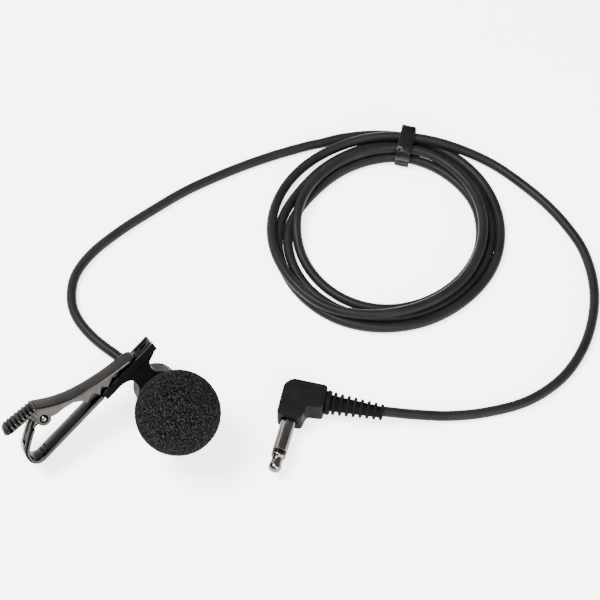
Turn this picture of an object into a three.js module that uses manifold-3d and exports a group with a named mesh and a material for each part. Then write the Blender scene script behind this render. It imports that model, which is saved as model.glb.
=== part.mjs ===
// Lavalier microphone on a spring clip, with its cord coiled and tied and a right-angle 3.5 mm plug.
// Millimetres, +Z up. The origin is on the surface it lies on, under the middle of the clip and head.
import * as THREE from "three";
import { mergeVertices } from "three/addons/utils/BufferGeometryUtils.js";
import Module from "manifold-3d";

const wasm = await Module();
wasm.setup();

// ---- driving dimensions (mm) ----
const GAP = 0.3; // clearance between neighbouring pieces
const HEAD_AT = new THREE.Vector3(10.65, 5.0, 7.8); // middle of the holder ring
const CLIP_DIR = new THREE.Vector3(0.729, 0.622, 0.284); // along the jaws, towards the tip
const REAR_DIR = new THREE.Vector3(-0.338, 0.689, -0.641); // microphone axis, towards the cord
const FOAM_R = 9.9, FOAM_Y = -14.9; // windscreen ball and its centre along the axis
const TUBE_R = 3.9, TUBE_BORE = 3.3, TUBE_FRONT = -15.2; // microphone tube
const FLANGE_R = 5.3, FLANGE_Y0 = 2.8, FLANGE_Y1 = 5.3; // shoulder behind the ring
const RING_R = 5.5, RING_BORE = 4.2, RING_HALF = 2.5; // holder ring
const JAW_W = 6.0, JAW_T = 1.0, TOP_T = 0.6; // clip strip width and gauges
const TONGUE_W = 4.5; // lower jaw width inside the holder
const PIN = { x: -23.4, z: 16.3, r: 0.75 }; // pivot pin
const CORD_D = 2.5; // cord diameter
const COIL = { x: 64.8, y: 52.5, r0: 20.7, r1: 29.2, z0: 0.9, z1: 5.3 }; // coiled cord
const TIE = { angle: 1.337, r: 24.95, w: 3.7, t: 0.5 }; // strap round the bundle
const PLUG_AT = new THREE.Vector3(40.4, -1.0, 4.0); // shoulder centre of the plug
const PLUG_TURN = -0.228; // the plug's turn about +Z
const PLUG_T = 7.6; // plug body thickness
const JACK_X = 0.45, JACK_TURN = -0.035; // the jack's offset and lean at the shoulder
const SLEEVE_R = 1.75, SLEEVE_L = 8.0, JACK_L = 13.4; // jack contacts

// ---- booleans ----
function toSolid(geometry) {
  const g = geometry.clone();
  for (const name of Object.keys(g.attributes)) if (name !== "position") g.deleteAttribute(name);
  const m = mergeVertices(g, 1e-4);
  const triVerts = new Uint32Array(m.index.array);
  return new wasm.Manifold(
    new wasm.Mesh({ numProp: 3, vertProperties: new Float32Array(m.attributes.position.array), triVerts })
  );
}
function toGeometry(s) {
  const m = s.getMesh();
  const g = new THREE.BufferGeometry();
  g.setAttribute("position", new THREE.BufferAttribute(new Float32Array(m.vertProperties), 3));
  g.setIndex([...m.triVerts]);
  const flat = g.toNonIndexed();
  flat.computeVertexNormals();
  return flat;
}
const join = (...gs) => toGeometry(gs.map(toSolid).reduce((a, b) => a.add(b)));
const cut = (g, ...tools) => toGeometry(tools.map(toSolid).reduce((a, b) => a.subtract(b), toSolid(g)));

// ---- shape helpers ----
// A closed outline in the x-z plane, given thickness along y.
function plate(outline, width, y = 0, holes = []) {
  const shape = new THREE.Shape(outline.map(([x, z]) => new THREE.Vector2(x, z)));
  for (const h of holes) shape.holes.push(new THREE.Path(h.map(([x, z]) => new THREE.Vector2(x, z))));
  const g = new THREE.ExtrudeGeometry(shape, { depth: width, bevelEnabled: false, steps: 1 });
  g.translate(0, 0, -width / 2);
  g.rotateX(Math.PI / 2);
  g.translate(0, y, 0);
  return g;
}
// The line at distance k to the left of a line of points.
function besideLine(line, k) {
  const pts = line.map(([x, z]) => new THREE.Vector2(x, z));
  return pts.map((p, i) => {
    const a = pts[Math.max(i - 1, 0)], b = pts[Math.min(i + 1, pts.length - 1)];
    const t = b.clone().sub(a).normalize();
    return [p.x - t.y * k, p.y + t.x * k];
  });
}
// The outline of a bent strip of even gauge that follows a line of points.
const stripOutline = (line, gauge) =>
  [...besideLine(line, -gauge / 2), ...besideLine(line, gauge / 2).reverse()];
// A smooth curve through points, as a finer line.
const smooth = (line, steps) =>
  new THREE.SplineCurve(line.map(([x, z]) => new THREE.Vector2(x, z))).getPoints(steps).map((p) => [p.x, p.y]);
function circle(x, z, r, n = 20) {
  const turn = (2 * Math.PI) / n;
  return Array.from({ length: n }, (_, i) => [x + r * Math.cos(i * turn), z + r * Math.sin(i * turn)]);
}
function block(x0, x1, y0, y1, z0, z1) {
  const g = new THREE.BoxGeometry(x1 - x0, y1 - y0, z1 - z0);
  g.translate((x0 + x1) / 2, (y0 + y1) / 2, (z0 + z1) / 2);
  return g;
}
// A turned piece about y; the profile of [radius, y] runs anticlockwise and may close on itself.
function turned(profile, segments = 40) {
  let area = 0;
  profile.forEach(([r, y], i) => {
    const [r2, y2] = profile[(i + 1) % profile.length];
    area += r * y2 - r2 * y;
  });
  const pts = area > 0 ? profile : [...profile].reverse();
  return new THREE.LatheGeometry(pts.map(([r, y]) => new THREE.Vector2(r, y)), segments);
}
const loop = (...profile) => [...profile, profile[0]];
// A round tube through a list of points.
function tube(points, radius, steps, sides = 8) {
  const path = new THREE.CatmullRomCurve3(points.map((p) => new THREE.Vector3(...p)), false, "centripetal");
  const shape = new THREE.Shape(circle(0, 0, radius, sides).map(([x, y]) => new THREE.Vector2(x, y)));
  return new THREE.ExtrudeGeometry(shape, { steps, extrudePath: path, bevelEnabled: false });
}

// ---- materials ----
const look = (color, roughness, metalness) => new THREE.MeshStandardMaterial({ color, roughness, metalness });
const GUNMETAL = look(0x5a5450, 0.28, 1.0);
const DARK_STEEL = look(0x3a3532, 0.3, 1.0);
const NICKEL = look(0xb9b2a6, 0.22, 1.0);
const BLACK_PLASTIC = look(0x0e0e0f, 0.42, 0.0);
const GLOSS_BLACK = look(0x0b0b0d, 0.15, 0.0);
const CORD_PVC = look(0x1c1c1d, 0.55, 0.0);
const FOAM = look(0x141414, 0.95, 0.0);
const BOARD = look(0x1f5a2c, 0.5, 0.0);
const FELT = look(0x26241f, 0.95, 0.0);

const root = new THREE.Group();
const head = new THREE.Group(); // clip and microphone, in the clip's own axes
{
  const x = CLIP_DIR.clone().normalize();
  const y = REAR_DIR.clone().addScaledVector(x, -REAR_DIR.dot(x)).normalize();
  const z = new THREE.Vector3().crossVectors(x, y);
  head.quaternion.setFromRotationMatrix(new THREE.Matrix4().makeBasis(x, y, z));
  head.position.copy(HEAD_AT);
}
root.add(head);
function add(parent, name, geometry, material) {
  const mesh = new THREE.Mesh(geometry, material);
  mesh.name = name;
  parent.add(mesh);
  return mesh;
}

// ---- microphone, turned about the head's y axis ----
// Open-cell ball with a blind bore that slips over the front of the tube.
function foamWindscreen() {
  const bore = TUBE_R + GAP, profile = [];
  const stop = Math.PI - Math.asin((bore + 0.4) / FOAM_R);
  for (let i = 0; i <= 20; i++) {
    const a = (stop * i) / 20;
    profile.push([i ? FOAM_R * Math.sin(a) : 0, FOAM_Y - FOAM_R * Math.cos(a)]);
  }
  profile.push([bore, FOAM_Y - FOAM_R * Math.cos(stop) - 0.5], [bore, -16.9], [0, -16.9]);
  return turned(profile, 40);
}
// Tube with a shoulder at the cord end and a recess for the rear cap.
function micShell() {
  return turned(loop(
    [TUBE_BORE, TUBE_FRONT], [TUBE_R - 0.2, TUBE_FRONT], [TUBE_R, TUBE_FRONT + 0.2], [TUBE_R, FLANGE_Y0],
    [FLANGE_R - 0.3, FLANGE_Y0], [FLANGE_R, FLANGE_Y0 + 0.3], [FLANGE_R, FLANGE_Y1 - 0.4],
    [FLANGE_R - 0.4, FLANGE_Y1], [4.6, FLANGE_Y1], [4.6, FLANGE_Y1 - 1.4], [TUBE_BORE, FLANGE_Y1 - 1.4]
  ), 40);
}
// Perforated disc over the front of the tube.
function frontGrille() {
  const holes = [circle(0, 0, 0.42, 8)];
  for (let i = 0; i < 6; i++) {
    const a = (i * Math.PI) / 3;
    holes.push(circle(1.35 * Math.cos(a), 1.35 * Math.sin(a), 0.42, 8));
    holes.push(circle(2.6 * Math.cos(a + 0.5), 2.6 * Math.sin(a + 0.5), 0.42, 8));
  }
  return plate(circle(0, 0, TUBE_R, 32), 0.6, TUBE_FRONT - GAP - 0.3, holes);
}
const feltDisc = () => turned([[0, -15.0], [2.95, -15.0], [2.95, -14.55], [0, -14.55]], 28);
// Aluminium can of the capsule, with its sound hole, open at the back.
const capsuleCan = () => turned(loop(
  [0.8, -14.25], [2.8, -14.25], [3.0, -14.05], [3.0, -9.6], [2.6, -9.6], [2.6, -13.85], [0.8, -13.85]), 32);
const capsuleBoard = () => join(
  turned([[0, -10.8], [2.3, -10.8], [2.3, -10.2], [0, -10.2]], 24),
  turned([[0, -10.4], [0.45, -10.4], [0.3, -9.7], [0, -9.7]], 12).translate(1.1, 0, 0),
  turned([[0, -10.4], [0.45, -10.4], [0.3, -9.7], [0, -9.7]], 12).translate(-1.1, 0, 0));
const capsuleGasket = () => turned(loop([2.2, -9.3], [3.0, -9.3], [3.0, -8.5], [2.2, -8.5]), 32);
const rearCap = () => turned(loop(
  [1.5, FLANGE_Y1 - 1.1], [4.3, FLANGE_Y1 - 1.1], [4.3, FLANGE_Y1 - 0.4], [4.0, FLANGE_Y1 - 0.1],
  [1.5, FLANGE_Y1 - 0.1]), 36);

// ---- clip, outlines in the head's x-z plane ----
const REAR_BEND = [ // middle of the lower jaw's strip, from the pivot round the rear bend
  [-24.9, 17.1], [-26.9, 16.0], [-28.8, 14.85], [-30.6, 13.6], [-31.7, 12.6], [-32.2, 11.3], [-32.05, 10.15],
  [-31.35, 9.3], [-30.2, 8.9], [-28.5, 8.95]];
const JAW_LINE = [...smooth(REAR_BEND, 27), [-27.0, 9.07], [-15.0, 9.78], [6.2, 11.0]];
const jawZ = (x) => 8.95 + ((x + 28.5) * 2.05) / 34.7; // middle height of the straight part
// outer face of the thumb pad
const PAD_LINE = [[-32.5, 19.55], [-32.2, 19.95], [-31.7, 20.15], [-22.9, 19.45]];
const SWEEP = [ // outer face of the upper jaw from the pad to the tip
  [-22.9, 19.45], [-20.9, 18.05], [-18.9, 16.8], [-16.0, 15.45], [-13.0, 14.45], [-10.0, 13.72], [-7.0, 13.15],
  [-3.0, 12.62], [-0.6, 12.35], [0.5, 12.15], [1.2, 11.8]];
const TOP_LINE = [...PAD_LINE, ...smooth(SWEEP, 40).slice(1)];
const RIBS = { first: -31.0, pitch: 1.07, count: 8, foot: 0.34, crest: 0.2, height: 0.3 }; // on the thumb pad

function lowerJaw() {
  const strip = plate(stripOutline(JAW_LINE, JAW_T), JAW_W);
  const eye = plate(circle(PIN.x, PIN.z, PIN.r + GAP + 0.6, 20), 4.2);
  const narrow = (s) => block(-26.9, -20, s * 2.1, s * 4, 12, 20); // room for the flanges
  const tongue = (s) => block(-10.2, 8, s * (TONGUE_W / 2), s * 4, 8, 13);
  const sides = [narrow(1), tongue(1)].concat([-1].flatMap((s) => [
    block(-26.9, -20, -4, s * 2.1, 12, 20), block(-10.2, 8, -4, (s * TONGUE_W) / 2, 8, 13)]));
  const window = plate([[-30.2, 12.4], [-24.6, 15.6], [-25.8, 18.2], [-31.5, 14.6]], 2.4);
  const middle = plate(circle(PIN.x, PIN.z, 2.4, 20), 2.6); // room for the spring
  const bore = plate(circle(PIN.x, PIN.z, PIN.r + GAP, 20), 8);
  const slot = block(3.3, 5.3, -0.5, 0.5, 9, 13);
  const rivetHole = plate(circle(0, 0, 1.15, 16), 6).rotateX(Math.PI / 2).translate(-2.0, 0, 10.5);
  const grip = (x) => plate([[x - 0.35, 9.2], [x + 0.35, 9.2], [x + 0.15, 9.75], [x - 0.15, 9.75]], 3.6);
  return cut(join(strip, eye, grip(-29.3), grip(-28.1)), ...sides, window, middle, bore, slot, rivetHole);
}
// Folded strip: top, two toothed flanges with pivot lugs, turned-down lip and ribs on the thumb pad.
function upperJaw() {
  const inner = besideLine(TOP_LINE, -TOP_T / 2);
  const padZ = (x) => 20.15 - (x + 31.7) * 0.0795, comb = [];
  for (let i = 0; i < RIBS.count; i++) {
    const x = RIBS.first + i * RIBS.pitch, z = padZ(x) + RIBS.height;
    comb.push([x - RIBS.foot, padZ(x - RIBS.foot)], [x - RIBS.crest, z], [x + RIBS.crest, z],
      [x + RIBS.foot, padZ(x + RIBS.foot)]);
  }
  const outer = [...TOP_LINE.slice(0, 3), ...comb, ...TOP_LINE.slice(3)];
  const top = plate([...outer, ...besideLine(TOP_LINE, -TOP_T).reverse()], JAW_W);
  const lug = [];
  for (let i = 0; i <= 8; i++) {
    const a = -0.55 - (i * 2.75) / 8;
    lug.push([PIN.x + 1.75 * Math.cos(a), PIN.z + 1.75 * Math.sin(a)]);
  }
  const edge = [
    [1.1, 11.5], [-2.6, 11.35], [-3.4, 12.0], [-4.9, 11.2], [-5.7, 12.1], [-7.9, 11.05], [-8.9, 12.4],
    [-10.5, 10.95], [-11.3, 12.8], [-13.7, 11.75], [-14.4, 13.0], [-16.0, 14.2], [-18.4, 14.75], [-20.6, 14.95],
    ...lug, [-25.4, 17.6], [-26.0, 18.7], [-31.8, 19.0], [-32.4, 19.3]];
  const flangeOutline = [...inner, ...edge];
  const flange = (s) => plate(flangeOutline, TOP_T, (s * (JAW_W - TOP_T)) / 2);
  const bore = plate(circle(PIN.x, PIN.z, PIN.r + GAP, 20), 8);
  const lip = plate([[-32.7, 19.5], [-32.4, 18.8], [-31.8, 18.8], [-31.7, 19.7]], JAW_W);
  // what lies outside a corner rounded in plan, at the end x on side s, facing dir
  const corner = (x, dir, s, r) => {
    const pts = [];
    for (let i = 0; i <= 6; i++) {
      const a = (i * Math.PI) / 12;
      pts.push(new THREE.Vector2(x - dir * r * (1 - Math.sin(a)), s * (JAW_W / 2 - r * (1 - Math.cos(a)))));
    }
    pts.push(new THREE.Vector2(x + dir, s * (JAW_W / 2 - r)), new THREE.Vector2(x + dir, s * 4),
      new THREE.Vector2(x - dir * r, s * 4));
    const shape = new THREE.Shape(pts);
    return new THREE.ExtrudeGeometry(shape, { depth: 12, bevelEnabled: false }).translate(0, 0, 10);
  };
  const corners = [1, -1].flatMap((s) => [corner(-32.75, -1, s, 1.3), corner(1.35, 1, s, 1.4)]);
  return cut(join(top, flange(1), flange(-1), lip), ...corners, bore);
}
function pivotPin() {
  return turned([[0, -3.35], [0.45, -3.3], [PIN.r, -3.0], [PIN.r, 3.0], [0.45, 3.3], [0, 3.35]], 20)
    .translate(PIN.x, 0, PIN.z);
}
// Coil round the pin with one arm under the thumb pad and one along the rear leg.
function jawSpring() {
  const coil = plate(circle(PIN.x, PIN.z, 1.5, 20), 2.0);
  const armUp = plate([[-24.0, 17.2], [-24.2, 17.7], [-28.6, 18.35], [-28.7, 17.95]], 0.8, 0.55);
  const armDown = plate([[-23.6, 17.3], [-24.4, 17.7], [-29.4, 14.5], [-29.2, 14.15]], 0.8, -0.55);
  return cut(join(coil, armUp, armDown), plate(circle(PIN.x, PIN.z, PIN.r + GAP, 20), 4));
}
// Split ring, neck and the channel that wraps the tongue of the lower jaw.
function ringHolder() {
  const ring = plate(circle(0, 0, RING_R, 36), 2 * RING_HALF);
  const neck = plate([
    [-5.0, 0.5], [-4.9, 2.6], [-3.8, 4.4], [-2.9, 5.4], [-2.65, 6.3], [-2.65, 7.4], [-3.0, 8.2], [-3.8, 8.7],
    [-4.9, 8.95], [-5.9, 9.0], [-6.1, jawZ(-6.1) - 0.9], [5.4, jawZ(5.4) - 0.9], [5.5, 9.75], [4.6, 9.2],
    [3.3, 8.7], [2.6, 8.1], [2.3, 7.2], [2.35, 6.4], [2.7, 5.5], [3.8, 4.4], [4.9, 2.6], [5.0, 0.5]], 5.4);
  // a bar along the straight of the jaw, from a to b and from lo to hi about its middle
  const along = (a, b, lo, hi, width) =>
    plate([[a, jawZ(a) + lo], [b, jawZ(b) + lo], [b, jawZ(b) + hi], [a, jawZ(a) + hi]], width);
  const under = along(-10, 6.4, -1.15, 0.5, JAW_W);
  const channel = along(-12, 8, -0.8, 2, TONGUE_W + 2 * GAP);
  const bore = plate(circle(0, 0, RING_BORE, 32), 8);
  const split = block(-0.6, 0.6, -4, 4, -7, -3);
  const rivetHole = plate(circle(0, 0, 1.15, 16), 4).rotateX(Math.PI / 2).translate(-2.0, 0, 10.3);
  return cut(join(ring, neck, under), channel, bore, split, rivetHole);
}
// Flat-headed rivet through the jaw into the holder's base.
function holderRivet() {
  const z = jawZ(-2.0);
  return turned([[0, 8.6], [0.85, 8.6], [0.85, z + 0.65], [1.5, z + 0.65], [1.4, z + 1.0], [0, z + 1.05]], 16)
    .rotateX(Math.PI / 2).translate(-2.0, 0, 0);
}

// ---- cord, in the surface's frame ----
const MIC_LEAD = [ // from the boot round to the bundle
  [4.4, 14.1, 1.6], [1.6, 15.9, 1.3], [-1.2, 18.0, 1.25], [-6.5, 22.4, 1.25], [-10.7, 27.6, 1.25],
  [-12.6, 33.0, 1.25], [-12.1, 39.8, 1.25], [-8.3, 46.3, 1.25], [-1.6, 52.8, 1.25], [6.2, 58.8, 1.25], [14.9, 64.9, 1.25],
  [25.6, 70.6, 1.25], [35.7, 75.0, 1.25], [45.0, 78.2, 1.25]];
const PLUG_LEAD = [ // from the bundle round to the strain relief
  [88.2, 75.0, 1.9], [94.1, 71.8, 1.25], [100.1, 66.6, 1.25], [105.7, 60.8, 1.25], [110.5, 54.2, 1.25],
  [114.2, 46.9, 1.25], [115.9, 37.8, 1.25], [115.2, 29.0, 1.25], [112.1, 19.8, 1.25], [106.4, 11.6, 1.25],
  [98.0, 5.6, 1.25], [88.3, 2.6, 1.3], [79.1, 1.4, 1.6], [70.6, 1.3, 2.6], [63.8, 1.6, 3.5]];
const micLead = () => tube(MIC_LEAD, CORD_D / 2, 26);
const plugLead = () => tube(PLUG_LEAD, CORD_D / 2, 34);
const BOOT = [[8.79, 8.79, 4.27], [7.7, 10.75, 2.8], [6.2, 12.5, 2.15], [4.65, 13.9, 1.9]];
const bootTube = () => tube(BOOT, 1.85, 8, 14);
function coiledCord() {
  const { r0, r1, z0, z1 } = COIL, c = 0.8;
  return turned(loop([r0 + c, z0], [r1 - c, z0], [r1, z0 + c], [r1, z1 - c], [r1 - c, z1], [r0 + c, z1],
    [r0, z1 - c], [r0, z0 + c]), 72).rotateX(Math.PI / 2).translate(COIL.x, COIL.y, 0);
}
// The strap and its head stand across the bundle, x outwards from the coil's centre.
const tie = new THREE.Group();
tie.rotation.z = TIE.angle;
tie.position.set(TIE.r, 0, 0).applyEuler(tie.rotation).add(new THREE.Vector3(COIL.x, COIL.y, (COIL.z0 + COIL.z1) / 2));
root.add(tie);
function tieStrap() {
  const w = (COIL.r1 - COIL.r0) / 2 + GAP, h = (COIL.z1 - COIL.z0) / 2 + GAP;
  const oval = (a, b, c) => [[-a + c, -b], [a - c, -b], [a, -b + c], [a, b - c], [a - c, b], [-a + c, b],
    [-a, b - c], [-a, -b + c]];
  return plate(oval(w + TIE.t, h + TIE.t, 1.3), TIE.w, 0, [oval(w, h, 0.9)]);
}
// The strap's tucked end, below the inner side of the bundle.
function tieTongue() {
  const w = (COIL.r1 - COIL.r0) / 2 + GAP + TIE.t, h = (COIL.z1 - COIL.z0) / 2 + GAP + TIE.t;
  return plate([[-w - 0.3, 0.9], [-w - 0.8, 0.9], [-w - 1.1, -0.6], [-w - 1.0, -h + 0.1], [-w - 0.3, -h + 0.2]], 2.6, -1.1);
}
// Its rolled outer end, on the far side of the top.
function tieCurl() {
  const w = (COIL.r1 - COIL.r0) / 2 + GAP + TIE.t, h = (COIL.z1 - COIL.z0) / 2 + GAP + TIE.t;
  return plate([[w - 2.6, h + GAP], [w - 0.9, h + GAP], [w + 0.3, h - 0.4], [w + 0.7, h + 0.1], [w - 0.4, h + 0.9],
    [w - 2.6, h + 0.75]], 3.4);
}

// ---- plug: x along the strain relief, y from the shoulder up the body, jack along -y ----
const plug = new THREE.Group();
plug.position.copy(PLUG_AT);
plug.rotation.z = PLUG_TURN;
root.add(plug);
// Chamfered L-shaped body with a socket for the sleeve.
function plugBody() {
  const c = 1.5;
  const outline = [[-1.0, 1.5], [2.2, 1.5], [2.6, 4.2], [3.4, 4.9], [6.3, 5.1], [6.3, 8.2], [-0.1, 8.2], [-1.0, 7.3]];
  const shape = new THREE.Shape(outline.map(([x, y]) => new THREE.Vector2(x, y)));
  const g = new THREE.ExtrudeGeometry(shape, { depth: PLUG_T - 2 * c, bevelEnabled: true, bevelThickness: c,
    bevelSize: c, bevelSegments: 1, steps: 1 }).translate(0, 0, -PLUG_T / 2 + c);
  const r = SLEEVE_R + GAP;
  const socket = new THREE.CylinderGeometry(r, r, 6, 20).translate(JACK_X, 0, 0).rotateZ(JACK_TURN);
  return cut(g, socket);
}
// Eight ribs on a tapering core, bored for nothing: the cord butts on its end.
function strainRelief() {
  const profile = [[0, 0]];
  for (let i = 0; i < 8; i++) {
    const x = 0.35 + i * 1.62, r = 2.8 - i * 0.125;
    profile.push([r - 0.55, x - (i ? 0 : 0.35)], [r, x + 0.25], [r, x + 0.85], [r - 0.6, x + 1.1]);
  }
  profile.push([1.75, 13.3], [1.6, 13.6], [0, 13.6]);
  return turned(profile, 24).rotateZ(-Math.PI / 2 + 0.03).translate(7.9 + GAP, 6.8, 0);
}
const jackSleeve = () => turned(loop([1.2, 2.7], [SLEEVE_R, 2.7], [SLEEVE_R, -SLEEVE_L], [1.2, -SLEEVE_L]), 28)
  .translate(JACK_X, 0, 0).rotateZ(JACK_TURN);
const jackInsulator = () => turned(loop([0.7, 2.5], [1.05, 2.5], [1.05, -SLEEVE_L - 0.15], [1.7, -SLEEVE_L - 0.15],
  [1.7, -SLEEVE_L - 0.75], [0.7, -SLEEVE_L - 0.75]), 28).translate(JACK_X, 0, 0).rotateZ(JACK_TURN);
const jackTip = () => turned([[0, 2.3], [0.55, 2.3], [0.55, -8.9], [1.75, -8.9], [1.75, -9.3], [1.15, -10.5],
  [1.2, -10.9], [1.6, -11.8], [1.55, -12.2], [0.55, 0.25 - JACK_L], [0, -JACK_L]], 28)
  .translate(JACK_X, 0, 0).rotateZ(JACK_TURN);

add(head, "foam_windscreen", foamWindscreen(), FOAM);
add(head, "mic_head_shell", micShell(), look(0x3d3d40, 0.3, 0.4));
add(head, "mic_front_grille", frontGrille(), DARK_STEEL);
add(head, "capsule_felt", feltDisc(), FELT);
add(head, "capsule_can", capsuleCan(), look(0xb8babd, 0.35, 1.0));
add(head, "capsule_board", capsuleBoard(), BOARD);
add(head, "capsule_gasket", capsuleGasket(), look(0x101010, 0.8, 0.0));
add(head, "mic_rear_cap", rearCap(), BLACK_PLASTIC);
add(root, "mic_cord_boot", bootTube(), BLACK_PLASTIC);
add(head, "ring_holder", ringHolder(), BLACK_PLASTIC);
add(head, "holder_rivet", holderRivet(), DARK_STEEL);
add(head, "lower_jaw", lowerJaw(), GUNMETAL);
add(head, "upper_jaw", upperJaw(), GUNMETAL);
add(head, "pivot_pin", pivotPin(), NICKEL);
add(head, "jaw_spring", jawSpring(), DARK_STEEL);
add(root, "cord_mic_lead", micLead(), CORD_PVC);
add(root, "cord_coil", coiledCord(), CORD_PVC);
add(root, "cord_plug_lead", plugLead(), CORD_PVC);
add(tie, "tie_strap", tieStrap(), GLOSS_BLACK);
add(tie, "tie_curl", tieCurl(), GLOSS_BLACK);
add(tie, "tie_tongue", tieTongue(), GLOSS_BLACK);
add(plug, "plug_strain_relief", strainRelief(), BLACK_PLASTIC);
add(plug, "plug_body", plugBody(), BLACK_PLASTIC);
add(plug, "jack_sleeve", jackSleeve(), NICKEL);
add(plug, "jack_insulator", jackInsulator(), GLOSS_BLACK);
add(plug, "jack_tip", jackTip(), NICKEL);

export default root;
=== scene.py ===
"""A lavalier microphone on a spring clip, with its coiled cord and right-angle jack plug.

The pieces' lengths are in millimetres and go into the scene in metres through MM. The camera,
the floor and the lights are in metres.
"""

import math

import bmesh
import bpy
import numpy as np
from mathutils import Matrix, Vector, noise


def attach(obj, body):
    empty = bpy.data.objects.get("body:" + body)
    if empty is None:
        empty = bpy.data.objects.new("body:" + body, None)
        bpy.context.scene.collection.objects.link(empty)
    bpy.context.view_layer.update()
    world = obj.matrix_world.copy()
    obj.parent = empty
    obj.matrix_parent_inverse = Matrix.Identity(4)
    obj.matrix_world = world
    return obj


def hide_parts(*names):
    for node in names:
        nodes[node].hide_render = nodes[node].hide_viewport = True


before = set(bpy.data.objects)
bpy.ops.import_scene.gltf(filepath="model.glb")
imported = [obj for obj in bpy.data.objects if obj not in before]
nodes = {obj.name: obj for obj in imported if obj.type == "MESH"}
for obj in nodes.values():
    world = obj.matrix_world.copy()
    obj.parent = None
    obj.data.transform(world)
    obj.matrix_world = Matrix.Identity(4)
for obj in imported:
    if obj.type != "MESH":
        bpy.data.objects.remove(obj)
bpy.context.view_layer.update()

MM = 0.001

# ---- the clip's own axes: along the jaws, back along the microphone, towards the upper jaw ----
ALONG = Vector((0.729, 0.622, 0.284)).normalized()
REAR = Vector((-0.338, 0.689, -0.641))
REAR = (REAR - ALONG * REAR.dot(ALONG)).normalized()
UP = ALONG.cross(REAR)
HEAD_AT = Vector((10.65, 5.0, 7.8))


def axes_matrix(x, y, z, origin):
    """Takes local millimetres to the frame's metres."""
    m = Matrix((x, y, z)).transposed().to_4x4()
    m.translation = origin
    return Matrix.Scale(MM, 4) @ m


HEAD = axes_matrix(ALONG, REAR, UP, HEAD_AT)
PLUG_TURN, PLUG_AT = -0.228, Vector((40.4, -1.0, 4.0))
PLUG = axes_matrix(
    Vector((math.cos(PLUG_TURN), math.sin(PLUG_TURN), 0)),
    Vector((-math.sin(PLUG_TURN), math.cos(PLUG_TURN), 0)),
    Vector((0, 0, 1)),
    PLUG_AT,
)


def new_object(name, data):
    obj = bpy.data.objects.new(name, data)
    bpy.context.scene.collection.objects.link(obj)
    return obj


# ---- camera ----
LOOK_AT = Vector((0.0435, 0.0337, 0))
CAMERA_TILT = math.radians(29)
CAMERA_DISTANCE = 0.45
CAMERA_LENS, CAMERA_SENSOR = 109.6, 36


def make_camera():
    data = bpy.data.cameras.new("camera")
    data.lens = CAMERA_LENS
    data.sensor_width = CAMERA_SENSOR
    data.clip_start = 0.01
    data.clip_end = 10
    cam = new_object("camera", data)
    back = Vector((0, -math.sin(CAMERA_TILT), math.cos(CAMERA_TILT)))
    cam.location = LOOK_AT + back * CAMERA_DISTANCE
    cam.rotation_euler = (CAMERA_TILT, 0, 0)
    bpy.context.scene.camera = cam


make_camera()

# ---- cord route ----
CORD_R = 1.25
BOOT = [(8.79, 8.79, 4.27), (7.7, 10.75, 2.8), (6.2, 12.5, 2.15)]
MIC_LEAD = [
    (4.4, 14.1, 1.6), (1.6, 15.9, 1.3), (-1.2, 18.0, 1.25), (-6.5, 22.4, 1.25), (-10.7, 27.6, 1.25),
    (-12.6, 33.0, 1.25), (-12.1, 39.8, 1.25), (-8.3, 46.3, 1.25), (-1.6, 52.8, 1.25), (6.2, 58.8, 1.25),
    (14.9, 64.9, 1.25), (25.6, 70.6, 1.25), (35.7, 75.0, 1.25), (45.0, 78.2, 1.25),
]
PLUG_LEAD = [
    (88.2, 75.0, 1.9), (94.1, 71.8, 1.25), (100.1, 66.6, 1.25), (105.7, 60.8, 1.25), (110.5, 54.2, 1.25),
    (114.2, 46.9, 1.25), (115.9, 37.8, 1.25), (115.2, 29.0, 1.25), (112.1, 19.8, 1.25), (106.4, 11.6, 1.25),
    (98.0, 5.6, 1.25), (88.3, 2.6, 1.3), (79.1, 1.4, 1.6), (70.6, 1.3, 2.6), (63.8, 1.6, 3.5),
]
INTO_RELIEF = [(60.3, 1.75, 3.95), (57.4, 2.3, 4.0)]

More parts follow.
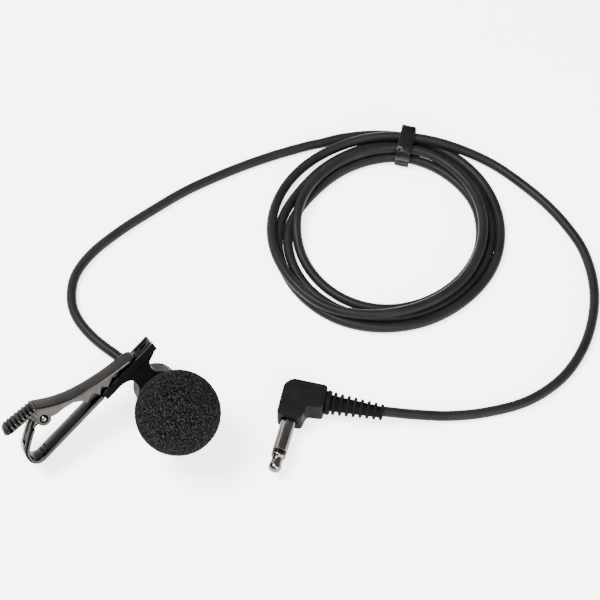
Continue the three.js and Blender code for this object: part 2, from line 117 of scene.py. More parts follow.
# The coil: each turn as (degrees clockwise from the tie, radius, height of the cord's middle).
COIL_CENTRE = (64.9, 53.5)
TIE_ANGLE = math.radians(76.6)
LEAD_IN = [(-45, 30.2, 1.25), (-32, 28.9, 1.25), (-22, 28.4, 1.25), (-10, 27.9, 1.6)]
TURNS = [
    [(0, 27.7, 1.85), (20, 28.1, 1.35), (60, 28.7, 1.25), (95, 28.9, 1.25), (125, 28.0, 1.25),
     (160, 28.1, 1.25), (192, 28.7, 1.25), (219, 28.4, 1.25), (240, 27.8, 1.25), (256, 26.8, 1.25),
     (268, 25.5, 1.25), (285, 23.9, 1.25), (310, 23.6, 1.25), (328, 24.1, 1.3), (342, 24.8, 1.5)],
    [(0, 24.95, 1.85), (20, 25.5, 1.35), (60, 26.3, 1.25), (95, 26.5, 1.25), (114, 25.8, 1.25),
     (137, 25.4, 1.25), (160, 25.5, 1.25), (190, 26.0, 1.25), (219, 25.9, 1.25), (246, 24.9, 1.25),
     (256, 24.2, 1.25), (268, 22.6, 1.25), (283, 20.9, 1.25), (300, 20.1, 1.25), (325, 20.2, 1.25),
     (345, 20.8, 1.5)],
    [(0, 21.5, 1.8), (20, 22.3, 1.3), (43, 23.1, 1.25), (60, 24.0, 1.25), (89, 24.0, 1.25),
     (114, 23.3, 1.25), (137, 22.9, 1.25), (170, 23.1, 1.25), (192, 22.9, 1.25), (218, 22.5, 1.25),
     (235, 22.4, 1.3), (246, 22.4, 1.9), (256, 22.4, 2.9), (268, 22.3, 3.7), (283, 22.0, 3.5),
     (300, 21.8, 3.2), (325, 21.8, 3.2), (345, 22.3, 3.6)],
    [(0, 22.8, 4.05), (16, 23.8, 3.7), (30, 24.0, 3.5), (45, 24.2, 3.55), (60, 24.4, 3.72),
     (100, 24.35, 3.7), (114, 24.5, 3.5), (137, 24.45, 3.56), (160, 25.2, 3.72), (178, 26.4, 3.68),
     (190, 27.2, 3.5), (200, 28.2, 3.7), (227, 28.6, 3.72), (246, 28.7, 3.3), (257, 28.5, 2.9),
     (272, 28.2, 2.0), (288, 27.8, 1.4), (302, 27.3, 1.5), (317, 26.5, 2.2), (335, 26.1, 3.1),
     (350, 26.1, 3.8)],
]
LEAD_OUT = [(0, 26.3, 4.05), (8, 26.9, 4.05), (16, 27.8, 3.8), (24, 29.1, 3.2)]


def smooth_line(points, spacing=1.5):
    """Points evenly spaced on a Catmull-Rom curve through the given ones."""
    p = np.array([points[0], *points, points[-1]], float)
    p[0] = 2 * p[1] - p[2]
    p[-1] = 2 * p[-2] - p[-3]
    out = []
    for a, b, c, d in zip(p[:-3], p[1:-2], p[2:-1], p[3:]):
        n = max(2, round(float(np.linalg.norm(c - b)) / spacing * 4))
        t = (np.arange(n) / n)[:, None]
        square = 2 * a - 5 * b + 4 * c - d
        cube = 3 * b - a - 3 * c + d
        out.append(0.5 * (2 * b + (c - a) * t + square * t**2 + cube * t**3))
    line = np.vstack([*out, p[-2:-1]])
    along = np.concatenate([[0], np.cumsum(np.linalg.norm(np.diff(line, axis=0), axis=1))])
    even = np.linspace(0, along[-1], round(along[-1] / spacing) + 1)
    return np.stack([np.interp(even, along, line[:, k]) for k in range(3)], axis=1)


def coil_points(step=6):
    """The coil's points, from the stretch before the tie to the stretch after the last turn."""
    knots = list(LEAD_IN)
    for k, turn in enumerate([*TURNS, LEAD_OUT]):
        knots += [(360 * k + a, r, z) for a, r, z in turn]
    angle, radius, height = np.array(knots, float).T
    even = np.arange(angle[0], angle[-1] + 1e-6, step)
    kernel = np.array([1, 3, 4, 3, 1]) / 12
    pad = len(kernel) // 2
    columns = []
    for values in (radius, height):
        v = np.interp(even, angle, values)
        v = np.pad(v, pad, mode="reflect", reflect_type="odd")
        columns.append(np.convolve(v, kernel, mode="valid"))
    turn = TIE_ANGLE - np.radians(even)
    x = COIL_CENTRE[0] + columns[0] * np.cos(turn)
    y = COIL_CENTRE[1] + columns[0] * np.sin(turn)
    return np.stack([x, y, columns[1]], axis=1)


def settle(route, rounds=60, neighbours=8, held_at_boot=10, held_at_plug=24):
    """Moves touching strands apart to one diameter, and keeps the line on the surface.

    Points no more than `neighbours` steps apart along the cord don't push each other, and the
    points held at each end stay where they are but for the smoothing.
    """
    apart = 2 * CORD_R
    n = len(route)
    far = np.abs(np.subtract.outer(np.arange(n), np.arange(n))) > neighbours
    free = np.ones((n, 1))
    free[:held_at_boot] = 0
    free[-held_at_plug:] = 0
    shift = np.zeros_like(route)
    for _ in range(rounds):
        line = route + shift
        d = line[:, None, :] - line[None, :, :]
        dist = np.linalg.norm(d, axis=2) + 1e-9
        push = np.where(far & (dist < apart), (apart - dist) / dist, 0)[:, :, None] * d
        shift += 0.25 * free * push.sum(axis=1)
        shift[1:-1] = (shift[:-2] + 4 * shift[1:-1] + shift[2:]) / 6
        shift[:, 2] = np.maximum(shift[:, 2], CORD_R - route[:, 2])
    return route + shift


def curve_piece(name, line, radius, resolution=6):
    """A round cord or wire along a line of points in millimetres."""
    data = bpy.data.curves.new(name, "CURVE")
    data.dimensions = "3D"
    spline = data.splines.new("POLY")
    spline.points.add(len(line) - 1)
    for point, p in zip(spline.points, line):
        point.co = (*(Vector(p) * MM), 1)
        point.radius = radius * MM
    data.bevel_depth = 1
    data.bevel_resolution = resolution
    data.use_fill_caps = True
    spline.use_smooth = True
    return new_object(name, data)


# ---- helpers for pieces ----
def mesh_piece(name, verts, faces, place, smooth=True):
    """A mesh object from local millimetres, set in place in the frame."""
    data = bpy.data.meshes.new(name)
    data.from_pydata([place @ Vector(v) for v in verts], [], faces)
    bm = bmesh.new()
    bm.from_mesh(data)
    bmesh.ops.remove_doubles(bm, verts=bm.verts, dist=1e-7)
    bmesh.ops.recalc_face_normals(bm, faces=bm.faces)
    for f in bm.faces:
        f.smooth = smooth
    bm.to_mesh(data)
    bm.free()
    return new_object(name, data)


def join_pieces(name, parts):
    """One object from several."""
    bm = bmesh.new()
    for part in parts:
        bm.from_mesh(part.data)
    data = bpy.data.meshes.new(name)
    bm.to_mesh(data)
    bm.free()
    for part in parts:
        old = part.data
        bpy.data.objects.remove(part)
        bpy.data.meshes.remove(old)
    return new_object(name, data)


def turned(name, profile, place, segments=96):
    """A closed piece turned about local y from [radius, y] points, the first and last on the axis."""
    verts, faces = [], []
    rings = []
    for r, y in profile:
        if r == 0:
            rings.append([len(verts)])
            verts.append((0, y, 0))
            continue
        ring = []
        for k in range(segments):
            a = 2 * math.pi * k / segments
            ring.append(len(verts))
            verts.append((r * math.cos(a), y, r * math.sin(a)))
        rings.append(ring)
    for p, q in zip(rings, rings[1:]):
        for k in range(segments):
            j = (k + 1) % segments
            face = [p[k % len(p)], p[j % len(p)], q[j % len(q)], q[k % len(q)]]
            face = list(dict.fromkeys(face))
            if len(face) > 2:
                faces.append(face)
    return mesh_piece(name, verts, faces, place)


def rectangle(x0, x1, y0, y1):
    return [(x0, y0), (x1, y0), (x1, y1), (x0, y1)]


def slab(name, outline, low, high, place):
    """An outline in local x-y, given thickness along local z."""
    n = len(outline)
    verts = [(x, y, low) for x, y in outline] + [(x, y, high) for x, y in outline]
    faces = [list(range(n)), list(range(n, 2 * n))]
    faces += [[k, (k + 1) % n, n + (k + 1) % n, n + k] for k in range(n)]
    return mesh_piece(name, verts, faces, place, smooth=False)


def round_corners(outline, radius, steps=4):
    """The outline with each corner turned into a short arc."""
    out = []
    n = len(outline)
    for k in range(n):
        p = Vector(outline[k])
        a = Vector(outline[k - 1]) - p
        b = Vector(outline[(k + 1) % n]) - p
        r = min(radius, 0.45 * a.length, 0.45 * b.length)
        start, end = p + a.normalized() * r, p + b.normalized() * r
        for j in range(steps + 1):
            t = j / steps
            out.append(tuple(start * (1 - t) ** 2 + p * 2 * t * (1 - t) + end * t**2))
    return out


def modify(obj, kind, **settings):
    mod = obj.modifiers.new(kind.lower(), kind)
    for key, value in settings.items():
        setattr(mod, key, value)
    return mod


def soften(obj, width):
    """Rounds the sharp edges and shades the rest smoothly."""
    for face in obj.data.polygons:
        face.use_smooth = True
    modify(obj, "WELD", merge_threshold=2e-6)
    modify(obj, "DECIMATE", decimate_type="DISSOLVE", angle_limit=math.radians(1))
    modify(
        obj, "BEVEL", width=width * MM, segments=3, limit_method="ANGLE",
        angle_limit=math.radians(30), miter_outer="MITER_ARC",
    )
    modify(obj, "WEIGHTED_NORMAL", keep_sharp=False, weight=60)
    return obj


def bake(obj):
    """Applies the piece's modifiers, so that its mesh is final."""
    graph = bpy.context.evaluated_depsgraph_get()
    data = bpy.data.meshes.new_from_object(obj.evaluated_get(graph))
    obj.modifiers.clear()
    old = obj.data
    obj.data = data
    bpy.data.meshes.remove(old)
    return obj


def bevelled(obj, width, segments):
    """Rounds the sharp edges for good."""
    modify(
        obj, "BEVEL", width=width * MM, segments=segments, limit_method="ANGLE",
        angle_limit=math.radians(40),
    )
    return bake(obj)


def combine(body, tool, operation="DIFFERENCE"):
    """Cuts the tool from the body, or joins it on with UNION, and drops the tool."""
    modify(body, "BOOLEAN", operation=operation, solver="EXACT", object=tool)
    bake(body)
    bpy.data.objects.remove(tool)


def creased(obj, angle=38):
    """Smooth, with a crease wherever the faces meet at more than the angle."""
    for face in obj.data.polygons:
        face.use_smooth = True
    obj.data.set_sharp_from_angle(angle=math.radians(angle))
    return obj


# ---- cord ----
cord_line = settle(smooth_line([*BOOT, *MIC_LEAD, *coil_points(), *PLUG_LEAD, *INTO_RELIEF]))
cord = curve_piece("cord", cord_line, CORD_R)
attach(cord, "base")
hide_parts("cord_mic_lead", "cord_coil", "cord_plug_lead")

# ---- boot behind the microphone ----
BOOT_R, BOOT_END = 1.85, (4.65, 13.9, 1.9)
BOOT_ROUNDING = (0.86, 0.96)
boot = curve_piece("cord_boot", smooth_line([*BOOT, BOOT_END], 0.3), BOOT_R)
for k, share in enumerate(BOOT_ROUNDING):
    boot.data.splines[0].points[-1 - k].radius *= share
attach(boot, "base")
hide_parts("mic_cord_boot")

# ---- tie round the bundle ----
TIE_R, TIE_Z = 24.65, 3.1
TIE_HALF_W, TIE_HALF_H = 4.5, 2.5
TIE_WIDTH, TIE_THICK = 3.7, 0.32
TIE_STEPS, TIE_LAP = 32, 11
TIE_SQUARENESS, TIE_RISE, TIE_START = 0.72, 0.3, math.pi - 0.08
tie_out = Vector((math.cos(TIE_ANGLE), math.sin(TIE_ANGLE), 0))
TIE = axes_matrix(
    tie_out,
    Vector((0, 0, 1)).cross(tie_out),
    Vector((0, 0, 1)),
    Vector((*COIL_CENTRE, 0)) + tie_out * TIE_R + Vector((0, 0, TIE_Z)),
)


def tie_path():
    """The strap's middle line: a tucked end, once round with a lap on top, and a curled end."""
    tucked = [(-0.9, -1.9), (-0.55, -0.6)]
    curled = [(0.5, 0.05), (0.95, 0.3), (0.85, 0.68), (0.4, 0.6)]
    path = [(-TIE_HALF_W + x, z) for x, z in tucked]
    for k in range(TIE_STEPS + TIE_LAP):
        a = TIE_START - 2 * math.pi * k / TIE_STEPS
        rise = TIE_RISE * k / TIE_STEPS
        c, s = math.cos(a), math.sin(a)
        x = math.copysign(abs(c) ** TIE_SQUARENESS, c) * (TIE_HALF_W + rise)
        z = math.copysign(abs(s) ** TIE_SQUARENESS, s) * (TIE_HALF_H + rise)
        path.append((x, z))
    end_x, end_z = path[-1]
    return path + [(end_x + x, end_z + z) for x, z in curled]


def strap(name, path, width, thick, place, seed):
    """A flat ribbon with slightly crumpled faces and thin edges, along a line in local x-z."""
    spacing, columns, edge_thinning = 0.22, 13, 0.35
    line = smooth_line([(x, 0, z) for x, z in path], spacing)
    across = np.linspace(-width / 2, width / 2, columns)
    tangent = np.gradient(line, axis=0)
    tangent /= np.linalg.norm(tangent, axis=1)[:, None]
    normal = np.stack([-tangent[:, 2], np.zeros(len(line)), tangent[:, 0]], axis=1)
    verts, faces = [], []
    for side in (0.5, -0.5):
        for p, n in zip(line, normal):
            for c, y in enumerate(across):
                at = Vector((p[0] * 0.5 + seed, y * 0.7, p[2] * 0.5))
                crumple = 0.11 * noise.noise(at * 1.3) + 0.05 * noise.noise(at * 3.1)
                edge = 1 - edge_thinning if c in (0, columns - 1) else 1
                verts.append(tuple(p + n * (side * thick * edge + crumple) + np.array((0, y, 0))))
    rows = len(line)
    skip = rows * columns
    for r in range(rows - 1):
        for c in range(columns - 1):
            a = r * columns + c
            faces.append([a, a + 1, a + columns + 1, a + columns])
            b = skip + a
            faces.append([b, b + columns, b + columns + 1, b + 1])
    for r in range(rows - 1):
        for c in (0, columns - 1):
            a = r * columns + c
            faces.append([a, a + columns, skip + a + columns, skip + a])
    for r in (0, rows - 1):
        for c in range(columns - 1):
            a = r * columns + c
            faces.append([a, a + 1, skip + a + 1, skip + a])
    return mesh_piece(name, verts, faces, place)


tie = strap("cord_tie", tie_path(), TIE_WIDTH, TIE_THICK, TIE, 2.0)
modify(tie, "SUBSURF", levels=1, render_levels=1)
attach(tie, "base")
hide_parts("tie_strap", "tie_curl", "tie_tongue")

# ---- foam windscreen ----
FOAM_R, FOAM_Y, FOAM_BORE, FOAM_DEPTH = 9.9, -14.9, 4.2, -16.9
# each layer of pores as (how often per millimetre, how deep)
PORES, PORE_SINK = ((2.6, 0.10), (5.2, 0.07)), 0.08


def foam_ball():
    """A ball with pores all over and a blind bore for the microphone's tube."""
    bm = bmesh.new()
    bmesh.ops.create_icosphere(bm, subdivisions=7, radius=FOAM_R)
    for v in bm.verts:
        p = v.co.copy()
        out = p.normalized()
        across = math.hypot(p.x, p.z)
        pores = sum(noise.noise(p * often) * depth for often, depth in PORES)
        v.co = p + out * (pores - PORE_SINK)
        if p.y > 0 and across < FOAM_BORE:
            v.co.y = FOAM_DEPTH - FOAM_Y
        v.co.y += FOAM_Y
        v.co = HEAD @ v.co
    data = bpy.data.meshes.new("foam_ball")
    for f in bm.faces:
        f.smooth = True
    bm.to_mesh(data)
    bm.free()
    return new_object("foam_ball", data)


foam = foam_ball()
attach(foam, "windscreen")
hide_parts("foam_windscreen")

# ---- jaws, in the clip's x-z plane, with their width along y ----
PIN_X, PIN_Z, PIN_BORE = -23.4, 16.3, 1.05
AT_PIN = HEAD @ Matrix.Translation((PIN_X, 0, PIN_Z))
JAW_HALF, STRIP_T = 3.0, 0.6
PAD_FRONT = (-22.9, 19.45)
PAD = [(-32.5, 19.3), (-32.35, 19.75), (-32.1, 20.0), (-31.7, 20.15), PAD_FRONT]
SWEEP = [
    PAD_FRONT, (-20.9, 18.05), (-18.9, 16.8), (-16.0, 15.45), (-13.0, 14.45), (-10.0, 13.72),
    (-7.0, 13.15), (-3.0, 12.62), (-0.6, 12.35), (0.5, 12.15), (1.0, 11.95), (1.2, 11.8),
]
SWEEP_LINE = smooth_line([(x, 0, z) for x, z in SWEEP], 0.15)
TEETH = [
    (1.2, 11.5), (-2.6, 11.35), (-3.4, 12.0), (-4.9, 11.2), (-5.7, 12.1), (-7.9, 11.05), (-8.9, 12.4),
    (-10.5, 10.95), (-11.3, 12.8), (-13.7, 11.75), (-14.4, 13.0), (-16.0, 14.2), (-18.4, 14.75),
    (-20.6, 14.95), (-21.91, 15.385),
]
PAD_END, JAW_TIP, TEETH_END = PAD[0][0], SWEEP[-1][0], TEETH[-1][0]
PAD_CORNER, TIP_CORNER = 2.3, 1.6
TAIL_SOLID_TO = -31.75
CHEEK_X, CHEEK_Z = -25.4, 17.5
UNDERSIDE_X, UNDERSIDE_Z, UNDERSIDE_SLOPE = -26.0, 18.7, -0.05
LUG_R = 1.75
LUG_START = PIN_X - LUG_R
RIBS, RIB_PITCH, RIB_FIRST, RIB_RISE = 8, 1.07, -31.0, 0.24
RIBBED_FROM, RIBBED_TO = -31.6, -23.0
SHOULDER_R, EDGE_EASE, SKIN = 0.42, 0.12, 0.02


def pin_cylinder(radius, half, segments=40):
    """A cutting tool on the pin's axis."""
    profile = [(0, -half), (radius, -half), (radius, half), (0, half)]
    return turned("pin_cylinder", profile, AT_PIN, segments)


def outer_height(x):
    """The upper jaw's outer face, without ribs."""
    if x <= PAD_FRONT[0]:
        xs, zs = zip(*PAD)
    else:
        xs, zs = SWEEP_LINE[:, 0], SWEEP_LINE[:, 2]
    return float(np.interp(x, xs, zs))


def rib_height(x):
    """The rise of the thumb pad's ribs at x, with soft crests."""
    phase = (x - RIB_FIRST) / RIB_PITCH
    if not -0.5 <= phase <= RIBS - 0.5:
        return 0.0
    wave = 0.5 + 0.5 * math.cos(2 * math.pi * phase)
    return RIB_RISE * min(1.0, max(0.0, 2.4 * wave - 0.4))


def flange_edge(x):
    """The upper jaw's lower edge at x: the pad's underside, a cheek, the lug and the teeth."""
    if x < CHEEK_X:
        return UNDERSIDE_Z + (x - UNDERSIDE_X) * UNDERSIDE_SLOPE
    if x < LUG_START:
        return CHEEK_Z
    if x < TEETH_END:
        return PIN_Z - math.sqrt(max(0.0, LUG_R**2 - (x - PIN_X) ** 2))
    xs, zs = zip(*reversed(TEETH))
    return float(np.interp(x, xs, zs))


def end_inset(x, end, radius):
    """How far a corner rounded in plan pulls the side in at x."""
    gap = radius - abs(x - end)
    return radius - math.sqrt(max(0.0, radius**2 - gap**2)) if gap > 0 else 0.0


def jaw_stations():
    """Where along the upper jaw its section is drawn: closer together where it changes fast."""
    spread = [
        np.arange(PAD_END, JAW_TIP + 0.01, 0.35),
        np.arange(RIBBED_FROM, RIBBED_TO, RIB_PITCH / 12),
        PIN_X + LUG_R * np.cos(np.linspace(0.5, math.pi, 22)),
        PAD_END + np.array((0.01, 0.04, 0.1, 0.2, 0.28)),
        JAW_TIP - np.array((0.9, 0.6, 0.4, 0.25, 0.15, 0.08, 0.03)),
    ]
    steps = {LUG_START - 0.01, LUG_START + 0.02, CHEEK_X, CHEEK_X - 0.01}
    return sorted(steps.union({x for x, _ in TEETH}, *(np.round(xs, 3) for xs in spread)))


def upper_section(x, shoulder):
    """The upper jaw's section at x: outside from side to side, then inside back again."""
    top = outer_height(x) + rib_height(x)
    low = min(flange_edge(x), outer_height(x) - 0.5)
    half = JAW_HALF - max(end_inset(x, PAD_END, PAD_CORNER), end_inset(x, JAW_TIP, TIP_CORNER))
    roof = low + SKIN
    if x >= TAIL_SOLID_TO:
        tilt = 1.0 if x < PAD_FRONT[0] else 1.15
        roof = max(outer_height(x) - STRIP_T * tilt, low + SKIN)
    round_r = min(SHOULDER_R, (top - low) * 0.5)
    side = [(-half + EDGE_EASE, low), (-half, low + EDGE_EASE)]
    side += [(-half + round_r * u, top - round_r * v) for u, v in shoulder]
    outer = side + [(-y, z) for y, z in reversed(side)]
    inside = half - STRIP_T
    inner = [(inside, low), (inside, roof - 0.01), (-inside, roof - 0.01), (-inside, low)]
    return [(x, y, z) for y, z in outer + inner]


def loft_faces(rows, columns):
    """Faces between rows of closed sections, with both ends capped."""
    faces = []
    for r in range(rows - 1):
        for k in range(columns):
            j = (k + 1) % columns
            faces.append([
                r * columns + k, r * columns + j, (r + 1) * columns + j, (r + 1) * columns + k,
            ])
    last = (rows - 1) * columns
    return faces + [list(range(columns)), [last + k for k in range(columns)]]


def upper_jaw():
    """A folded strip: rounded shoulders, two toothed flanges, a ribbed pad and a turned-down tail."""
    shoulder = [(1 - math.cos(a), 1 - math.sin(a)) for a in np.radians((0, 18, 36, 54, 72, 90))]
    sections = [upper_section(x, shoulder) for x in jaw_stations()]
    verts = [v for section in sections for v in section]
    faces = loft_faces(len(sections), len(sections[0]))
    jaw = mesh_piece("clip_upper_jaw", verts, faces, HEAD)
    combine(jaw, pin_cylinder(PIN_BORE, 5))
    return creased(jaw)


REAR_BEND = [
    (-24.9, 17.1), (-26.9, 16.0), (-28.8, 14.85), (-30.6, 13.6), (-31.7, 12.6), (-32.2, 11.3),
    (-32.05, 10.15), (-31.35, 9.3), (-30.2, 8.9), (-28.5, 8.95), (-27.0, 9.07), (-21.0, 9.42),
    (-15.0, 9.78), (-8.0, 10.18), (-1.0, 10.59), (6.2, 11.0),
]
LEG_HALF, TONGUE_HALF, NARROW_FROM = 2.1, 2.25, -10.2
LEG_X, LEG_Z = -26.9, 12
BAR_HALF_T = 0.5
BAR_EASE = [(0.0, 0.28), (0.04, 0.15), (0.13, 0.05), (0.26, 0.0)]
WINDOW, WINDOW_HALF = [(-30.2, 12.4), (-24.6, 15.6), (-25.8, 18.2), (-31.5, 14.6)], 1.25
SPRING_ROOM_R, SPRING_ROOM_HALF = 2.4, 1.3
EYE_R, EYE_Y, EYE_HALF = 1.65, 1.7, 0.38
GRIPS, GRIP_RISE, GRIP_HALF = [(-29.3, 9.38), (-28.1, 9.43)], 0.36, 1.9
TONGUE_Z, TONGUE_RISE, TONGUE_RUN = 10.83, 2.05, 34.7
SLOT = rectangle(3.4, 5.2, -0.5, 0.5)
BORDER = [
    rectangle(1.8, 6.1, -1.95, -1.6), rectangle(1.8, 6.1, 1.6, 1.95),
    rectangle(1.8, 2.1, -1.95, 1.95), rectangle(5.85, 6.15, -1.95, 1.95),
]
BORDER_FROM, BORDER_TO = 0.3, 0.47

# a slab's local x-y goes to the clip's x-z, or to the plane of the lower jaw's tongue
STAND = HEAD @ Matrix.Rotation(math.radians(90), 4, "X")
TONGUE = HEAD @ Matrix.Translation((0, 0, TONGUE_Z)) @ Matrix.Rotation(
    -math.atan2(TONGUE_RISE, TONGUE_RUN), 4, "Y")


def jaw_half(x, z):
    """Half the lower jaw's width: less between the flanges and inside the holder."""
    if z > LEG_Z and x > LEG_X:
        return LEG_HALF
    return TONGUE_HALF if x > NARROW_FROM else JAW_HALF


def bent_bar():
    """The lower jaw's strip, with its long edges eased."""
    line = smooth_line([(x, 0, z) for x, z in REAR_BEND], 0.3)
    along = np.gradient(line, axis=0)
    along /= np.linalg.norm(along, axis=1)[:, None]
    verts = []
    for p, t in zip(line, along):
        half = jaw_half(p[0], p[2])
        corner = [(half - a, BAR_HALF_T - b) for a, b in BAR_EASE]
        ring = corner + [(-y, d) for y, d in reversed(corner)]
        ring += [(-y, -d) for y, d in corner] + [(y, -d) for y, d in reversed(corner)]
        verts += [(p[0] - t[2] * d, y, p[2] + t[0] * d) for y, d in ring]
    return mesh_piece("clip_lower_jaw", verts, loft_faces(len(line), 4 * len(BAR_EASE)), HEAD)


def pin_eye(y):
    """A ring round the pin at the end of the rear leg."""
    turn = np.linspace(0, 2 * math.pi, 41)[:-1]
    outline = [(PIN_X + EYE_R * math.cos(a), PIN_Z + EYE_R * math.sin(a)) for a in turn]
    eye = slab("eye", outline, y - EYE_HALF, y + EYE_HALF, STAND)
    combine(eye, pin_cylinder(PIN_BORE, 5))
    return eye


def lower_jaw():
    """The bent strip with two eyes, a window, room for the spring, grips and a framed slot."""
    bar = bent_bar()
    combine(bar, slab("window", round_corners(WINDOW, 0.5), -WINDOW_HALF, WINDOW_HALF, STAND))
    combine(bar, pin_cylinder(SPRING_ROOM_R, SPRING_ROOM_HALF, 48))
    combine(bar, slab("slot", SLOT, -2, 2, TONGUE))
    parts = [bar, pin_eye(-EYE_Y), pin_eye(EYE_Y)]
    for x, z in GRIPS:
        top = z + GRIP_RISE
        grip = [(x - 0.35, z), (x + 0.35, z), (x + 0.16, top), (x - 0.16, top)]
        parts.append(slab("grip", grip, -GRIP_HALF, GRIP_HALF, STAND))
    parts += [slab("border", side, BORDER_FROM, BORDER_TO, TONGUE) for side in BORDER]
    return creased(join_pieces("clip_lower_jaw", parts))


# ---- torsion spring in the clip ----
SPRING_R, SPRING_WIRE = 1.22, 0.24


def wire_turns(turns, y0, y1):
    """Turns of wire round the pin, clockwise from the upper left, from y0 to y1."""
    start, steps = math.radians(115), round(turns * 16)
    points = []
    for k in range(steps + 1):
        a = start - 2 * math.pi * turns * k / steps
        y = y0 + (y1 - y0) * k / steps
        points.append((PIN_X + SPRING_R * math.cos(a), y, PIN_Z + SPRING_R * math.sin(a)))
    return points


def spring_piece(name, body, points):
    """A length of the spring's wire through points in the clip's own axes."""
    line = np.array([HEAD @ Vector(p) for p in smooth_line(points, 0.25)]) / MM
    piece = curve_piece(name, line, SPRING_WIRE, 3)
    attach(piece, body)
    return piece


# the arm under the thumb pad turns with the upper jaw, and the rest stays on the lower jaw
pad_arm = [(-29.0, 0.92, 18.2), (-26.6, 0.92, 17.95), (-24.6, 0.92, 17.6)]
leg_arm = [(-26.4, -0.86, 15.55), (-29.2, -0.86, 14.25)]
spring_arm = spring_piece("spring_arm", "upper_jaw", pad_arm + wire_turns(1, 0.92, 0.92)[:-2])
spring = spring_piece("torsion_spring", "base", wire_turns(2.5, 0.4, -0.85) + leg_arm)
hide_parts("jaw_spring")

top_jaw = upper_jaw()
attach(top_jaw, "upper_jaw")
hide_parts("upper_jaw")
low_jaw = lower_jaw()
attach(low_jaw, "base")
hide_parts("lower_jaw")


# ---- plug ----
PLUG_HALF_T, PLUG_CORNER, PLUG_EDGE = 3.8, 0.9, 0.95
PLUG_OUTLINE = [
    (-2.5, 0), (3.45, 0), (3.95, 2.75), (4.4, 3.35), (7.8, 3.65), (7.8, 9.7), (-0.75, 9.7), (-2.5, 7.95),
]
PANEL_RISE, PANEL_CORNER, PANEL_EDGE = 0.3, 0.8, 0.3
PANEL_OUTLINE = [
    (-1.85, 1.0), (2.8, 1.0), (3.2, 3.3), (3.9, 4.1), (7.1, 4.4), (7.1, 7.7), (-0.3, 7.7), (-1.85, 6.3),
]
JACK_X, JACK_TURN = 0.45, -0.035
JACK = PLUG @ Matrix.Translation((JACK_X, 0, 0)) @ Matrix.Rotation(JACK_TURN, 4, "Z")
SOCKET_R, SOCKET_DEPTH = 2.05, 2.9


def plug_shell():
    """The L-shaped body with a raised panel on both faces and a socket for the jack's collar."""
    body = slab("plug_shell", round_corners(PLUG_OUTLINE, PLUG_CORNER), -PLUG_HALF_T, PLUG_HALF_T, PLUG)
    high = PLUG_HALF_T + PANEL_RISE
    panel = slab("panel", round_corners(PANEL_OUTLINE, PANEL_CORNER), -high, high, PLUG)
    socket = [(0, -4), (SOCKET_R, -4), (SOCKET_R, SOCKET_DEPTH), (0, SOCKET_DEPTH)]
    bevelled(body, PLUG_EDGE, 5)
    combine(body, bevelled(panel, PANEL_EDGE, 3), "UNION")
    combine(body, turned("socket", socket, JACK, 64))
    for f in body.data.polygons:
        f.use_smooth = True
    modify(body, "WEIGHTED_NORMAL", weight=60)
    return body


plug = plug_shell()
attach(plug, "base")
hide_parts("plug_body")

# ---- strain relief: rings on a tapered core, joined by a spine above and below ----
RELIEF = PLUG @ Matrix.Translation((8.2, 6.8, 0)) @ Matrix.Rotation(-math.pi / 2 + 0.03, 4, "Z")
RELIEF_CORE = [(0, -0.4), (2.05, -0.4), (1.35, 13.2), (1.3, 13.5), (0, 13.5)]
RELIEF_ROOT = [(0, -0.35), (2.75, -0.35), (2.95, -0.1), (2.95, 0.6), (2.75, 0.85), (0, 0.85)]
RELIEF_RINGS, RELIEF_PITCH, RELIEF_FIRST = 8, 1.62, 1.35
RING_R, RING_SHRINK, RING_WIDTH = 2.75, 0.115, 0.75
RING_RIM = [(-0.35, 0), (-0.12, 0.07), (0, 0.27), (0, 0.48), (-0.12, 0.68), (-0.35, RING_WIDTH)]
SPINE_HALF, SPINE_BACK, SPINE_FRONT, SPINE_SINK = 0.55, 1.1, 0.1, 0.45


def strain_relief():
    parts = [turned("core", RELIEF_CORE, RELIEF, 48), turned("root", RELIEF_ROOT, RELIEF, 64)]
    for k in range(RELIEF_RINGS):
        y = RELIEF_FIRST + k * RELIEF_PITCH
        r = RING_R - RING_SHRINK * k
        rim = [(r + a, y + b) for a, b in RING_RIM]
        parts.append(turned("ring", [(0, y), *rim, (0, y + RING_WIDTH)], RELIEF, 64))
        spine = rectangle(-SPINE_HALF, SPINE_HALF, y - SPINE_BACK, y + SPINE_FRONT)
        parts.append(slab("spine", spine, SPINE_SINK - r, r - SPINE_SINK, RELIEF))
    return join_pieces("strain_relief", parts)


relief = strain_relief()
modify(relief, "WEIGHTED_NORMAL", weight=60)
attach(relief, "base")
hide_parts("plug_strain_relief")

# ---- the jack's tip contact, with its pin through the sleeve ----
TIP_PROFILE = [
    (0, 2.3), (0.55, 2.3), (0.55, -8.9), (1.62, -8.9), (1.73, -9.0), (1.75, -9.3), (1.6, -9.55),
    (1.38, -9.85), (1.3, -10.2), (1.28, -11.0), (1.34, -11.3), (1.46, -11.6), (1.52, -11.9), (1.5, -12.3),
    (1.36, -12.7), (1.1, -13.05), (0.7, -13.3), (0.3, -13.39), (0, -13.4),
]
tip = creased(turned("jack_contact", TIP_PROFILE, JACK, 64), 50)
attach(tip, "base")
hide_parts("jack_tip")

# ---- CAD nodes that stay: rounded edges ----
EDGES = {
    "pivot_pin": 0.12, "ring_holder": 0.16, "holder_rivet": 0.1,
    "mic_head_shell": 0.1, "mic_front_grille": 0.05, "mic_rear_cap": 0.1, "capsule_can": 0.08,
    "capsule_board": 0.04, "capsule_felt": 0.06, "capsule_gasket": 0.08, "jack_sleeve": 0.06,
    "jack_insulator": 0.05,
}
for node, width in EDGES.items():
    soften(nodes[node], width)


